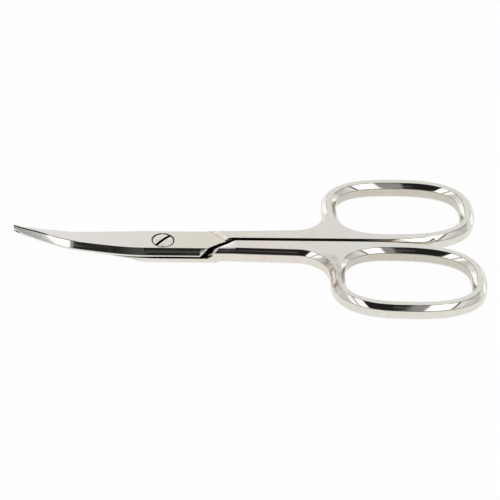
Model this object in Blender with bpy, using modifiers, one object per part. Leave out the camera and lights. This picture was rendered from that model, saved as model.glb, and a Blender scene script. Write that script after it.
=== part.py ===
# Nail scissors with curved blades: two forged steel halves and the slotted screw they turn on.
# Metres, +Z up. The pivot axis is the Z axis, the rings lie toward +X and the tips toward -X.
# The upper half has its ring on the +Y side, the lower half its ring on the -Y side.

import math

import bmesh
import bpy
import numpy as np
from mathutils import Vector

# Joint: the halves lap here and share its thickness, less the gap between them
JOINT_THICKNESS = 0.0030
LAP_GAP = 0.0003
SPINE_HALF_WIDTH = 0.00336
EDGE_HALF_WIDTH = 0.0035
SPINE_BEVEL = 0.00107
EDGE_CHAMFER = 0.0005

# Shoulder: the slanting end of each lap and the step of the other half that faces it
SHOULDER_START = 0.0070
SHOULDER_END = 0.0129
SHOULDER_CURVE_SHARES = ((0.0, 0.0), (0.27, 0.30), (0.70, 0.87), (1.0, 1.0))
OUTER_PLAY = 0.0030
INNER_PLAY = 0.0008
STEP_LEAN = 0.0004
LAP_ROOT = 0.0016
FLAT_END_OUTER = 0.0095
FLAT_END_INNER = 0.0119
FLAT_RAMP_RUN = 0.0007

# Shank and ring: one bar of eight-sided section
HANDLE_THICKNESS = 0.0035
HANDLES_GAP = 0.0003
HANDLE_CHAMFER = 0.0009
INNER_CHAMFER = 0.00028
INNER_CHAMFER_END = 0.0330
FULL_CHAMFER_START = 0.0525
CHAMFER_GROWTH_SHARE = 3.0
SHANK_WIDTH_AT_RING = 0.0042
RING_BAR = 0.0028
RING_CENTRE = 0.0448
RING_FRONT_REACH = 0.0121
RING_BACK_REACH = 0.0149
RING_INNER_REACH = 0.0093
RING_OUTER_REACH = 0.0086
RING_FULLNESS_SHARE = 2.65
RING_TILT_DEGREES = 1.6
RING_FILLET = 0.0060

# Blade: tapers from the joint to the tip and curves upward
BLADE_ROOT = 0.0034
BLADE_LENGTH = 0.0284
TIP_HALF_WIDTH = 0.00035
TIP_THICKNESS = 0.00045
THINNING_SHARE = 8.0
CHOIL_LENGTH = 0.0040
WEDGE_START = 0.0030
WEDGE_LENGTH = 0.0125
UPPER_HEEL_GRIND = 0.00085
UPPER_NOSE_GRIND = 0.00025
LOWER_HEEL_GRIND = 0.00165
LOWER_NOSE_GRIND = 0.00160
NOSE_GRIND_START = 0.0160
EDGE_THICKNESS = 0.00012
HOLLOW_DEPTH = 0.00010

# Slopes of the blade at shares of its length: its upward bend, its spine and its edge in plan
BEND_SLOPE_SHARES = (
    (0.053, 0.0), (0.317, 0.055), (0.535, 0.083), (0.641, 0.218), (0.775, 0.296), (0.915, 0.306), (1.0, 0.55)
)
SPINE_SLOPE_SHARES = (
    (0.12, 0.0), (0.317, 0.080), (0.535, 0.088), (0.641, 0.060), (0.775, 0.153), (0.915, 0.224), (1.0, 0.452)
)
EDGE_SLOPE_SHARES = (
    (0.12, 0.0), (0.28, 0.120), (0.42, 0.200), (0.56, 0.150), (0.77, 0.170), (0.88, 0.100), (1.0, 0.04)
)

# Screw and its seat
SCREW_HEAD_RADIUS = 0.00196
SCREW_HEAD_RIM = 0.00063
SCREW_HEAD_DOME = 0.00016
SCREW_SHAFT_RADIUS = 0.00120
SCREW_RUNNING_FIT = 0.00006
SEAT_CLEARANCE = 0.0002
SEAT_DEPTH = 0.00075
HEAD_LIFT = 0.00012
SLOT_WIDTH = 0.00055
SLOT_DEPTH = 0.00040
SLOT_ANGLE_DEGREES = 48.0
SCREW_EDGE_ROUNDING = 0.0001

# Facets
CUT_OVERRUN = 0.0010
RING_POINTS = 112
HOLE_POINTS = 96
FILLET_POINTS = 9
WALL_STEP = 0.0016
BLADE_STEPS = 30
SLOPE_STEPS = 200
LAP_STEPS = 22
ROUND_POINTS = 64

COLLECTION_NAME = "nail_scissors"
UPPER = 1
LOWER = -1


def clear_scene():
    for item in list(bpy.data.objects):
        bpy.data.objects.remove(item, do_unlink=True)


def make_collection(name):
    collection = bpy.data.collections.new(name)
    bpy.context.scene.collection.children.link(collection)
    return collection


def steel(name, colour, roughness):
    material = bpy.data.materials.new(name)
    material.use_nodes = True
    shader = material.node_tree.nodes["Principled BSDF"]
    shader.inputs["Base Color"].default_value = (*colour, 1.0)
    shader.inputs["Roughness"].default_value = roughness
    shader.inputs["Metallic"].default_value = 1.0
    material.diffuse_color = (*colour, 1.0)
    return material


def smooth_share(value):
    """A share that starts and ends gently, held between zero and one."""
    share = min(max(value, 0.0), 1.0)
    return share * share * (3.0 - 2.0 * share)


def blend(start, end, share):
    return start + (end - start) * share


def bezier(points, share):
    """A point on the cubic curve that four points steer."""
    rest = 1.0 - share
    factors = (rest**3, 3.0 * rest**2 * share, 3.0 * rest * share**2, share**3)
    return sum(factor * np.array(point) for factor, point in zip(factors, points))


def mesh_object(name, bm, collection):
    bmesh.ops.recalc_face_normals(bm, faces=bm.faces)
    mesh = bpy.data.meshes.new(name)
    bm.to_mesh(mesh)
    bm.free()
    item = bpy.data.objects.new(name, mesh)
    collection.objects.link(item)
    return item


def bridge(bm, sections):
    """Walls between rings of points that run alike; returns the rings of vertices."""
    rings = [[bm.verts.new(point) for point in section] for section in sections]
    for ring, following in zip(rings, rings[1:]):
        for index in range(len(ring)):
            after = (index + 1) % len(ring)
            bm.faces.new((ring[index], ring[after], following[after], following[index]))
    return rings


def loft(name, sections, collection):
    """A solid through rings of points that run alike, closed at both ends."""
    bm = bmesh.new()
    rings = bridge(bm, sections)
    bm.faces.new(rings[0])
    bm.faces.new(rings[-1])
    return mesh_object(name, bm, collection)


def combine(target, tool, operation):
    modifier = target.modifiers.new(operation.title(), "BOOLEAN")
    modifier.operation = operation
    modifier.solver = "EXACT"
    modifier.object = tool
    return modifier


def settle(item):
    """Replace an object's mesh by what its modifiers make of it."""
    depsgraph = bpy.context.evaluated_depsgraph_get()
    mesh = bpy.data.meshes.new_from_object(item.evaluated_get(depsgraph))
    item.modifiers.clear()
    item.data = mesh


def hide_cutter(item):
    item.hide_render = True
    item.display_type = "WIRE"


# Plan of the shoulder

def lap_end(share):
    """The slanting end of the upper half's lap, from its spine to the gap between the shanks."""
    run = SHOULDER_END - SHOULDER_START
    rise = SPINE_HALF_WIDTH + HANDLES_GAP / 2
    points = [
        (SHOULDER_START + run * along, rise * across - SPINE_HALF_WIDTH)
        for along, across in SHOULDER_CURVE_SHARES
    ]
    return bezier(points, share)


def step_face(share):
    """The upper half's step, which faces the slanting end of the lower half's lap."""
    x, y = lap_end(share)
    return np.array((x + blend(OUTER_PLAY, INNER_PLAY, share), HANDLES_GAP - y))


def curve_table(curve):
    return np.array([curve(share) for share in np.linspace(0.0, 1.0, LAP_STEPS * 4)])


def step_corner():
    """Where the step meets the outer wall."""
    table = curve_table(step_face)
    x = np.interp(-EDGE_HALF_WIDTH, -table[:, 1], table[:, 0])
    return np.array((x, EDGE_HALF_WIDTH))


# Plan of the ring and shank

def even(points, count):
    """The same closed outline with evenly spaced points."""
    closed = np.vstack([points, points[:1]])
    lengths = np.hypot(*np.diff(closed, axis=0).T)
    travelled = np.concatenate([[0.0], np.cumsum(lengths)])
    wanted = np.linspace(0.0, travelled[-1], count, endpoint=False)
    return np.column_stack([np.interp(wanted, travelled, closed[:, k]) for k in (0, 1)])


def normals(points):
    """Outward normals of an outline that runs anticlockwise."""
    tangent = np.roll(points, -1, axis=0) - np.roll(points, 1, axis=0)
    tangent /= np.hypot(*tangent.T)[:, None]
    return np.column_stack([tangent[:, 1], -tangent[:, 0]])


def ring_oval(outset):
    """The ring's oval about its own centre, moved outward from the bar's middle by outset."""
    angle = np.linspace(0.0, 2.0 * math.pi, 8 * RING_POINTS, endpoint=False)
    power = 2.0 / RING_FULLNESS_SHARE
    reach_x = np.where(np.cos(angle) > 0.0, RING_BACK_REACH, RING_FRONT_REACH)
    reach_y = np.where(np.sin(angle) > 0.0, RING_OUTER_REACH, RING_INNER_REACH)
    x = reach_x * np.sign(np.cos(angle)) * np.abs(np.cos(angle)) ** power
    y = reach_y * np.sign(np.sin(angle)) * np.abs(np.sin(angle)) ** power
    tilt = math.radians(RING_TILT_DEGREES)
    turned_x = x * math.cos(tilt) - y * math.sin(tilt)
    turned_y = x * math.sin(tilt) + y * math.cos(tilt)
    middle = even(np.column_stack([turned_x, turned_y]), 4 * RING_POINTS)
    return middle + normals(middle) * outset


def ring_centre():
    """The ring's centre, placed so that the ring ends at the gap between the halves."""
    lowest = ring_oval(RING_BAR / 2)[:, 1].min()
    return np.array((RING_CENTRE, HANDLES_GAP / 2 - lowest))


def arc(centre, start, end, count):
    """Points along the shorter arc from start to end."""
    first = math.atan2(*(start - centre)[::-1])
    turn = (math.atan2(*(end - centre)[::-1]) - first + math.pi) % (2.0 * math.pi) - math.pi
    radius = np.hypot(*(start - centre))
    angles = first + turn * np.linspace(0.0, 1.0, count)
    return centre + radius * np.column_stack([np.cos(angles), np.sin(angles)])


def straight(start, end):
    """Points from start to end, both left out, about one wall step apart."""
    count = max(1, round(float(np.hypot(*(end - start))) / WALL_STEP))
    return [start + (end - start) * k / count for k in range(1, count)]


def ring_fillet(outer, wall_start, wall_end):
    """Fillet between the ring's front and the shank's outer wall."""
    along = (wall_end - wall_start) / np.hypot(*(wall_end - wall_start))
    upward = np.array((-along[1], along[0]))
    centres = outer + normals(outer) * RING_FILLET
    height = (centres - wall_start) @ upward - RING_FILLET
    top = int(np.argmax(outer[:, 1]))
    crossing = top + int(np.argmax(height[top:] <= 0.0))
    foot = centres[crossing] - upward * RING_FILLET
    return crossing, arc(centres[crossing], outer[crossing], foot, FILLET_POINTS)


def handle_outline():
    """Outline of the upper half's shank and ring, anticlockwise, run on past its step."""
    outer = ring_oval(RING_BAR / 2) + ring_centre()
    bend = np.array((SHOULDER_END, EDGE_HALF_WIDTH))
    wall_end = np.array((RING_CENTRE - RING_FRONT_REACH, SHANK_WIDTH_AT_RING))
    crossing, fillet = ring_fillet(outer, bend, wall_end)
    lowest = int(np.argmin(outer[:, 1])) - len(outer)
    around = outer[np.arange(lowest, crossing) % len(outer)]
    around = around[:: len(outer) // RING_POINTS]
    end_outer = np.array((FLAT_END_OUTER - HANDLE_CHAMFER, EDGE_HALF_WIDTH))
    end_inner = np.array((FLAT_END_OUTER - HANDLE_CHAMFER, HANDLES_GAP / 2))
    points = [*around, *fillet]
    points += straight(fillet[-1], bend)
    points += [bend, end_outer, end_inner]
    points += straight(end_inner, around[0])
    return np.array(points)


def ring_hole():
    return even(ring_oval(-RING_BAR / 2) + ring_centre(), HOLE_POINTS)


# Handle solid

def chamfer_legs(outline):
    """Chamfer along each outline point: small between the two shanks, full round the ring."""
    legs = []
    for x, y in outline:
        grown = (x - INNER_CHAMFER_END) / (FULL_CHAMFER_START - INNER_CHAMFER_END)
        between = y < SHANK_WIDTH_AT_RING / 2 and grown < 1.0
        leg = blend(INNER_CHAMFER, HANDLE_CHAMFER, max(0.0, grown) ** CHAMFER_GROWTH_SHARE)
        legs.append(leg if between else HANDLE_CHAMFER)
    return np.array(legs)


def inset(outline, legs):
    """Each point moved inward so that its two sides move by its leg."""
    side = np.roll(outline, -1, axis=0) - outline
    side /= np.hypot(*side.T)[:, None]
    after = np.column_stack([-side[:, 1], side[:, 0]])
    before = np.roll(after, 1, axis=0)
    spread = 1.0 + np.sum(before * after, axis=1)
    return outline + (before + after) / spread[:, None] * legs[:, None]


def add_wall(bm, outline, legs):
    """The chamfered wall over an outline; returns its bottom and top edge loops."""
    inner = inset(outline, legs)
    levels = (
        (inner, 0.0 * legs),
        (outline, legs),
        (outline, HANDLE_THICKNESS - legs),
        (inner, HANDLE_THICKNESS + 0.0 * legs),
    )
    rings = bridge(bm, [np.column_stack([points, heights]) for points, heights in levels])
    loops = []
    for ring in (rings[0], rings[-1]):
        loops.append([bm.edges.get((ring[k - 1], ring[k])) for k in range(len(ring))])
    return loops


def handle_body(name, side, collection):
    """Shank and ring of one half: a chamfered plate with the finger hole."""
    outline = handle_outline()
    hole = ring_hole()[::-1]
    bm = bmesh.new()
    outer_loops = add_wall(bm, outline, chamfer_legs(outline))
    hole_loops = add_wall(bm, hole, np.full(len(hole), HANDLE_CHAMFER))
    for outer_loop, hole_loop in zip(outer_loops, hole_loops):
        bmesh.ops.triangle_fill(bm, use_beauty=True, edges=outer_loop + hole_loop)
    bmesh.ops.scale(bm, vec=(1.0, side, 1.0), verts=bm.verts)
    return mesh_object(name, bm, collection)


# Lap and blade solid

def climb(slope_shares, x):
    """How far a line with these slopes has moved sideways at x."""
    shares, slopes = np.array(slope_shares).T
    step = max(0.0, -x) / BLADE_LENGTH / SLOPE_STEPS
    middles = (np.arange(SLOPE_STEPS) + 1 / 2) * step
    return BLADE_LENGTH * step * float(np.interp(middles, shares, slopes).sum())


def blade_share(x):
    """Zero at the blade's root, one at its tip."""
    return min(max((-x - BLADE_ROOT) / (BLADE_LENGTH - BLADE_ROOT), 0.0), 1.0)


def tapered(root, slope_shares, x):
    return max(TIP_HALF_WIDTH, root - climb(slope_shares, x))


def spine_side(x):
    """How far the lap or blade reaches on its spine's side, and its bevel there."""
    if x > SHOULDER_START:
        table = curve_table(lap_end)
        tail = (table[-1] - table[-2]) / (table[-1, 0] - table[-2, 0])
        y = np.interp(x, table[:, 0], table[:, 1]) + tail[1] * max(0.0, x - SHOULDER_END)
        bevel = max(0.0, -y - SPINE_HALF_WIDTH + SPINE_BEVEL)
        return y, bevel
    half_width = tapered(SPINE_HALF_WIDTH, SPINE_SLOPE_SHARES, x)
    thickness_share = blade_thickness(x) / blade_thickness(0.0)
    return -half_width, min(SPINE_BEVEL * thickness_share, half_width)


def edge_side(x):
    """How far the lap or blade reaches on its cutting edge's side."""
    corner = step_corner()
    if x > corner[0]:
        table = curve_table(step_face)
        step = np.interp(x, table[:, 0], table[:, 1])
        return (step + EDGE_HALF_WIDTH) / 2
    return tapered(EDGE_HALF_WIDTH, EDGE_SLOPE_SHARES, x)


def blade_thickness(x):
    root = (JOINT_THICKNESS - LAP_GAP) / 2
    return blend(root, TIP_THICKNESS, blade_share(x) ** THINNING_SHARE)


def lap_section(x, side):
    """Offsets across and away from the parting surface, from the spine over the back to the edge."""
    heel_grind = UPPER_HEEL_GRIND if side == UPPER else LOWER_HEEL_GRIND
    nose_grind = UPPER_NOSE_GRIND if side == UPPER else LOWER_NOSE_GRIND
    near, bevel = spine_side(x)
    far = edge_side(x)
    bottom = LAP_GAP / 2
    top = bottom + blade_thickness(x)
    ground = smooth_share((-x - BLADE_ROOT) / CHOIL_LENGTH)
    wedge = min(max((WEDGE_START - x) / WEDGE_LENGTH, 0.0), 1.0)
    nose = min(max((-x - BLADE_ROOT) / (NOSE_GRIND_START - BLADE_ROOT), 0.0), 1.0)
    grind = blend(EDGE_CHAMFER, blend(heel_grind, nose_grind, nose), ground)
    grind = min(grind, (far - near - bevel) / 2)
    edge_height = bottom + min(EDGE_THICKNESS, (top - bottom) / 4)
    wall_z = blend(top - EDGE_CHAMFER, edge_height, wedge)
    return (
        (near, bottom),
        (near, top - bevel),
        (near + bevel, top),
        (far - grind, top),
        (far, wall_z),
        (far, bottom),
        ((near + far) / 2, bottom + HOLLOW_DEPTH * ground),
    )


def lap_stations():
    """Places along X for the sections, closer together toward the tip."""
    turn = [k / BLADE_STEPS for k in range(BLADE_STEPS, 0, -1)]
    blade = [-BLADE_ROOT - (BLADE_LENGTH - BLADE_ROOT) * math.sin(share * math.pi / 2) for share in turn]
    lap = np.linspace(SHOULDER_START, SHOULDER_END, LAP_STEPS)
    return [*blade, -BLADE_ROOT, 0.0, WEDGE_START, *lap, SHOULDER_END + LAP_ROOT]


def lap_body(name, side, collection):
    """Lap and blade of one half, above the parting surface or below it."""
    parting = JOINT_THICKNESS / 2
    sections = []
    for x in lap_stations():
        lift = parting + climb(BEND_SLOPE_SHARES, x)
        sections.append([(x, side * y, lift + side * z) for y, z in lap_section(x, side)])
    return loft(name, sections, collection)


# Cutters

def cylinder(name, radius, bottom, top, collection):
    bm = bmesh.new()
    bmesh.ops.create_cone(
        bm, cap_ends=True, segments=ROUND_POINTS, radius1=radius, radius2=radius, depth=top - bottom
    )
    bmesh.ops.translate(bm, verts=bm.verts, vec=Vector((0.0, 0.0, (top + bottom) / 2)))
    item = mesh_object(name, bm, collection)
    hide_cutter(item)
    return item


def step_cutter(name, side, collection):
    """Ends the shank at its step, from inside the lap up to the free edge, which leans out over the joint."""
    face = curve_table(step_face)[::4]
    face[0] += (face[0] - face[1]) / np.hypot(*(face[0] - face[1])) * CUT_OVERRUN
    tail = (face[-1] - face[-2]) / np.hypot(*(face[-1] - face[-2]))
    face = np.vstack([face, face[-1] + tail * LAP_ROOT])
    away = np.array([[SHOULDER_START - LAP_ROOT, face[-1, 1]], [SHOULDER_START - LAP_ROOT, face[0, 1]]])
    plan = np.vstack([face, away])
    outset = inset(plan, np.full(len(plan), -CUT_OVERRUN - STEP_LEAN)) - plan
    levels = (
        ((JOINT_THICKNESS - LAP_GAP) / 4, 0.0),
        (HANDLE_THICKNESS - STEP_LEAN, 0.0),
        (HANDLE_THICKNESS + CUT_OVERRUN, 1.0),
    )
    sections = []
    for height, share in levels:
        z = height if side == LOWER else HANDLE_THICKNESS - height
        sections.append([(x, side * y, z) for x, y in plan + outset * share])
    item = loft(name, sections, collection)
    hide_cutter(item)
    return item


def joint_flat_cutter(collection):
    """Clears the upper half's joint down to its flat, with a ramp up to the shank."""
    inner = np.array((FLAT_END_INNER, 0.0))
    outer = np.array((FLAT_END_OUTER, EDGE_HALF_WIDTH - HANDLE_CHAMFER))
    line = (outer - inner) / np.hypot(*(outer - inner))
    across = np.array((line[1], -line[0]))
    start = inner - line * EDGE_HALF_WIDTH
    end = outer + line * EDGE_HALF_WIDTH
    rise = HANDLE_THICKNESS - JOINT_THICKNESS
    top_shift = across * FLAT_RAMP_RUN * (rise + CUT_OVERRUN) / rise
    left = np.array((-SHOULDER_END, 0.0))
    bottom = [start, end, end + left, start + left]
    top = [start + top_shift, end + top_shift, end + left, start + left]
    sections = [
        [(x, y, JOINT_THICKNESS) for x, y in bottom],
        [(x, y, HANDLE_THICKNESS + CUT_OVERRUN) for x, y in top],
    ]
    item = loft("cut_joint_flat", sections, collection)
    hide_cutter(item)
    return item


# Pieces

def finish(item, material):
    item.data.materials.clear()
    item.data.materials.append(material)
    item.data.shade_smooth()
    item.data.set_sharp_from_angle(angle=math.radians(22.0))


def make_half(name, side, parts, cutters, material):
    half = handle_body(name, side, parts)
    combine(half, step_cutter(name + "_step", side, cutters), "DIFFERENCE")
    if side == UPPER:
        combine(half, joint_flat_cutter(cutters), "DIFFERENCE")
    lap = lap_body(name + "_lap", side, cutters)
    hide_cutter(lap)
    combine(half, lap, "UNION")
    bore_radius = SCREW_SHAFT_RADIUS + SCREW_RUNNING_FIT
    bore = cylinder(name + "_bore", bore_radius, -CUT_OVERRUN, JOINT_THICKNESS + CUT_OVERRUN, cutters)
    combine(half, bore, "DIFFERENCE")
    if side == UPPER:
        seat_radius = SCREW_HEAD_RADIUS + SEAT_CLEARANCE
        seat_bottom = JOINT_THICKNESS - SEAT_DEPTH
        seat = cylinder("cut_screw_seat", seat_radius, seat_bottom, JOINT_THICKNESS + CUT_OVERRUN, cutters)
        combine(half, seat, "DIFFERENCE")
    settle(half)
    finish(half, material)
    return half


def screw_levels():
    """Heights of the screw head's underside, rim and crown."""
    under = JOINT_THICKNESS - SEAT_DEPTH + HEAD_LIFT
    rim = under + SCREW_HEAD_RIM
    return under, rim, rim + SCREW_HEAD_DOME


def screw_profile():
    """Outer side of the screw from its crown down to its end."""
    under, rim, crown = screw_levels()
    dome_radius = (SCREW_HEAD_RADIUS**2 + SCREW_HEAD_DOME**2) / (2.0 * SCREW_HEAD_DOME)
    half_angle = math.asin(SCREW_HEAD_RADIUS / dome_radius)
    points = []
    for share in np.linspace(0.0, 1.0, FILLET_POINTS)[:-1]:
        turn = half_angle * share
        points.append((dome_radius * math.sin(turn), crown - dome_radius * (1.0 - math.cos(turn))))
    rounding = SCREW_EDGE_ROUNDING
    points += [
        (SCREW_HEAD_RADIUS - rounding, rim - rounding / 4),
        (SCREW_HEAD_RADIUS, rim - rounding),
        (SCREW_HEAD_RADIUS, under),
        (SCREW_SHAFT_RADIUS, under),
        (SCREW_SHAFT_RADIUS, 0.0),
        (0.0, 0.0),
    ]
    return points


def make_screw(name, parts, cutters, material):
    mesh = bpy.data.meshes.new(name)
    profile = [(x, 0.0, z) for x, z in screw_profile()]
    mesh.from_pydata(profile, [(k, k + 1) for k in range(len(profile) - 1)], [])
    screw = bpy.data.objects.new(name, mesh)
    parts.objects.link(screw)
    turned = screw.modifiers.new("Turn", "SCREW")
    turned.axis = "Z"
    turned.steps = ROUND_POINTS
    turned.render_steps = ROUND_POINTS
    turned.use_merge_vertices = True
    turned.merge_threshold = LAP_GAP / 1000.0

    slot_length = 2 * (SCREW_HEAD_RADIUS + CUT_OVERRUN)
    slot_height = SLOT_DEPTH + CUT_OVERRUN
    bm = bmesh.new()
    bmesh.ops.create_cube(bm, size=1.0)
    bmesh.ops.scale(bm, verts=bm.verts, vec=(slot_length, SLOT_WIDTH, slot_height))
    slot = mesh_object("cut_slot", bm, cutters)
    slot.location = (0.0, 0.0, screw_levels()[-1] + CUT_OVERRUN - slot_height / 2)
    slot.rotation_euler = (0.0, 0.0, math.radians(SLOT_ANGLE_DEGREES))
    hide_cutter(slot)
    combine(screw, slot, "DIFFERENCE")
    settle(screw)
    finish(screw, material)
    return screw


def main():
    clear_scene()
    parts = make_collection(COLLECTION_NAME)
    cutters = make_collection("cutters")
    make_half("upper_half", UPPER, parts, cutters, steel("upper_steel", (0.80, 0.79, 0.77), 0.10))
    make_half("lower_half", LOWER, parts, cutters, steel("lower_steel", (0.79, 0.78, 0.76), 0.11))
    make_screw("pivot_screw", parts, cutters, steel("screw_steel", (0.76, 0.75, 0.73), 0.18))


main()
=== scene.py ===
# Looks of the nail scissors: two polished forgings and the slotted screw they turn on.
# Metres, +Z up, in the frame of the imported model. The pivot is the Z axis, the rings lie
# toward +X and the tips toward -X.

import math

import bmesh
import bpy
import numpy as np
from mathutils import Matrix, Vector


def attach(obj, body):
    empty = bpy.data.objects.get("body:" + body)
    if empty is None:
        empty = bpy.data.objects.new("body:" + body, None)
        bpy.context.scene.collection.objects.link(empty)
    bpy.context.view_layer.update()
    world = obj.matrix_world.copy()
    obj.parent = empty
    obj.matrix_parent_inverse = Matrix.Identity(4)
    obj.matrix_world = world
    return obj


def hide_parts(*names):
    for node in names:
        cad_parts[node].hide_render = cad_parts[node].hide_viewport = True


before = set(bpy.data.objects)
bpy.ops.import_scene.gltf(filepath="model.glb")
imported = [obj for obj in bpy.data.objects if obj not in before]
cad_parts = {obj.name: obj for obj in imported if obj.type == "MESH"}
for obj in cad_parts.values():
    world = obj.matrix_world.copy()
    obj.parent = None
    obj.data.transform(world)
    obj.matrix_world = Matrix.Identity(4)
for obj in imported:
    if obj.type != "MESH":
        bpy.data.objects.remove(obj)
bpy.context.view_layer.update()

# Joint
JOINT_THICKNESS = 0.0030
LAP_GAP = 0.0003
SPINE_HALF_WIDTH = 0.00336
EDGE_HALF_WIDTH = 0.0035
SPINE_BEVEL = 0.00107
EDGE_CHAMFER = 0.0005

# Shoulder
SHOULDER_START = 0.0070
SHOULDER_END = 0.0129
SHOULDER_CURVE_SHARES = ((0.0, 0.0), (0.27, 0.30), (0.70, 0.87), (1.0, 1.0))
OUTER_PLAY = 0.0030
INNER_PLAY = 0.0008
LAP_ROOT = 0.0016
FLAT_END_OUTER = 0.0095
FLAT_END_INNER = 0.0119
FLAT_RAMP_RUN = 0.00067

# Shank and ring
HANDLE_THICKNESS = 0.0035
HANDLES_GAP = 0.0003
HANDLE_CHAMFER = 0.0009
INNER_CHAMFER = 0.00028
INNER_CHAMFER_END = 0.0330
FULL_CHAMFER_START = 0.0525
CHAMFER_GROWTH_SHARE = 3.0
SHANK_WIDTH_AT_RING = 0.0042
RING_BAR = 0.0028
RING_CENTRE = 0.0448
RING_FRONT_REACH = 0.0121
RING_BACK_REACH = 0.0149
RING_INNER_REACH = 0.0093
RING_OUTER_REACH = 0.0086
RING_FULLNESS_SHARE = 2.65
RING_TILT_DEGREES = 1.6
RING_FILLET = 0.0060
RING_MIDDLE = (0.0462, 0.0109)
RING_MIDDLE_REACH = (0.0135, 0.0090)

# Blade
BLADE_ROOT = 0.0034
BLADE_LENGTH = 0.0284
TIP_HALF_WIDTH = 0.00035
TIP_THICKNESS = 0.00045
THINNING_SHARE = 8.0
CHOIL_LENGTH = 0.0040
WEDGE_START = 0.0030
WEDGE_LENGTH = 0.0125
UPPER_HEEL_GRIND = 0.00085
UPPER_NOSE_GRIND = 0.00025
LOWER_HEEL_GRIND = 0.00165
LOWER_NOSE_GRIND = 0.00160
NOSE_GRIND_START = 0.0160
EDGE_THICKNESS = 0.00012
HOLLOW_DEPTH = 0.00010

# Slopes of the blade at shares of its length: its upward bend, its spine and its edge in plan
BEND_SLOPE_SHARES = (
    (0.053, 0.0), (0.317, 0.055), (0.535, 0.083), (0.602, 0.115),
    (0.628, 0.215), (0.775, 0.296), (0.915, 0.306), (1.0, 0.55),
)
SPINE_SLOPE_SHARES = (
    (0.12, 0.0), (0.317, 0.080), (0.535, 0.088), (0.641, 0.060),
    (0.775, 0.153), (0.915, 0.224), (1.0, 0.452),
)
EDGE_SLOPE_SHARES = (
    (0.12, 0.0), (0.28, 0.120), (0.42, 0.200), (0.56, 0.150),
    (0.77, 0.170), (0.88, 0.100), (1.0, 0.04),
)

# Screw and its seat
SCREW_HEAD_RADIUS = 0.00196
SCREW_HEAD_RIM = 0.00063
SCREW_HEAD_DOME = 0.00016
SCREW_SHAFT_RADIUS = 0.00120
SCREW_RUNNING_FIT = 0.00006
SEAT_CLEARANCE = 0.0002
SEAT_RADIUS = SCREW_HEAD_RADIUS + SEAT_CLEARANCE
SEAT_DEPTH = 0.00075
HEAD_LIFT = 0.00012
SLOT_WIDTH = 0.00055
SLOT_DEPTH = 0.00040
SLOT_ANGLE_DEGREES = 48.0
SCREW_EDGE_ROUNDING = 0.0001

# Edges as polishing leaves them
EDGE_ROUNDING = 0.00012
EASE_SHARES = (0.25, 0.5, 0.75)
DIAGONAL_SHARE = 0.7
CHAMFER_CROWN_SHARE = 0.02
BLADE_ROUNDING = 0.00008
CREST_ROUNDING = 0.00030
CREST_GROWTH_SHARE = 0.5
CORNER_LIMIT = 3
EDGE_LIMIT_SHARE = 0.25
BLADE_FIT = 0.00013
LAP_END_ROUNDING = 0.00050
STEP_EASE_WIDTH = 0.0013
STEP_EASE_HEIGHT = 0.0004
STEP_FOOT_WIDTH = 0.0019
STEP_FOOT_HEIGHT = 0.0016
STEP_EASE_LOSS_SHARE = 0.6
STEP_END_EASE = 0.00025
STEP_END_LIMIT = 2.0
STEP_REACH = 0.0009
STEP_REACH_START = 0.0006
STEP_REACH_RUN = 0.0024
SHARP_DEGREES = 32.0
LEVEL_SHARE = 0.999999

# Facets
CUT_OVERRUN = 0.0010
OVAL_POINTS = 2400
OVAL_TRIAL_POINTS = 9600
RING_POINTS = 400
FILLET_POINTS = 28
WALL_STEP = 0.0006
BLADE_STEPS = 96
SLOPE_STEPS = 400
LAP_STEPS = 48
TABLE_STEPS = 192
CORNER_STEPS = 3
CROWN_STEPS = 7
STEP_EASE_STEPS = 7
BORE_POINTS = 128
WELD = 0.000001

# Camera, fitted to the photograph
TARGET = (0.016662, -0.001096, 0.001736)
CAMERA_DISTANCE = 0.600
CAMERA_NEAR_LIMIT = 0.006
CAMERA_ELEVATION = 36.875
CAMERA_AZIMUTH = -5.794
CAMERA_ROLL = 4.012
CAMERA_LENS = 226.03
CAMERA_SENSOR = 36.0

# Studio
FLOOR_SIZE = 6.0
FLOOR_DROP = 0.00002
FLOOR_SHADE = 0.90
FLOOR_GLOW = 0.97

# Steel's tone at places along X, and what stains, flecks, marks and painted shade and reflections
# multiply it by
STEEL_TONES = (
    (-0.0260, (0.88, 0.875, 0.86)),
    (-0.0060, (0.84, 0.83, 0.785)),
    (0.0060, (0.80, 0.79, 0.715)),
    (0.0180, (0.83, 0.79, 0.75)),
    (0.0400, (0.81, 0.805, 0.765)),
)
WARM_STAIN = (1.0, 0.955, 0.925)
LILAC_FLECK = (0.94, 0.89, 0.955)
GREEN_FLECK = (0.90, 0.95, 0.875)
# Painted dark reflection along the chamfers' rounded edges
EDGE_REFLECTION_LINE = (0.42, 0.40, 0.37)
NECK_STREAK = (0.40, 0.34, 0.28)
HEEL_SHADE = (0.72, 0.71, 0.76)
# Painted shade on the ramp up to the shank
RAMP_SHADE = (0.74, 0.65, 0.67)
# Painted shade on the upright walls, deeper inside the finger hole
OUTER_WALL_SHADE = (0.97, 0.96, 0.91)
HOLE_WALL_SHADE = (0.80, 0.785, 0.76)
SCREW_TONE = (0.76, 0.73, 0.68)
SCREW_STAIN_SHARE = 0.55

# Colours over the steel: grime with painted shade, painted shade in unlit gaps, painted dark lines,
# a painted highlight
GRIME_AND_SHADE = (0.30, 0.24, 0.19, 1.0)
# Painted shade in the seat's gap and on its far rim
SEAT_SHADE = (0.015, 0.013, 0.011, 1.0)
# Painted shade on the walls across the gap at the step
STEP_SHADE = (0.02, 0.017, 0.014, 1.0)
# Painted shade in the driver's slot
SLOT_SHADE = (0.015, 0.014, 0.012, 1.0)
# Painted shade along the crease at the ramp's foot
FOOT_SHADE_LINE = (0.24, 0.24, 0.20, 1.0)
# Painted dark reflection along the blade's rounded crest
CREST_REFLECTION_LINE = (0.03, 0.028, 0.024, 1.0)
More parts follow.
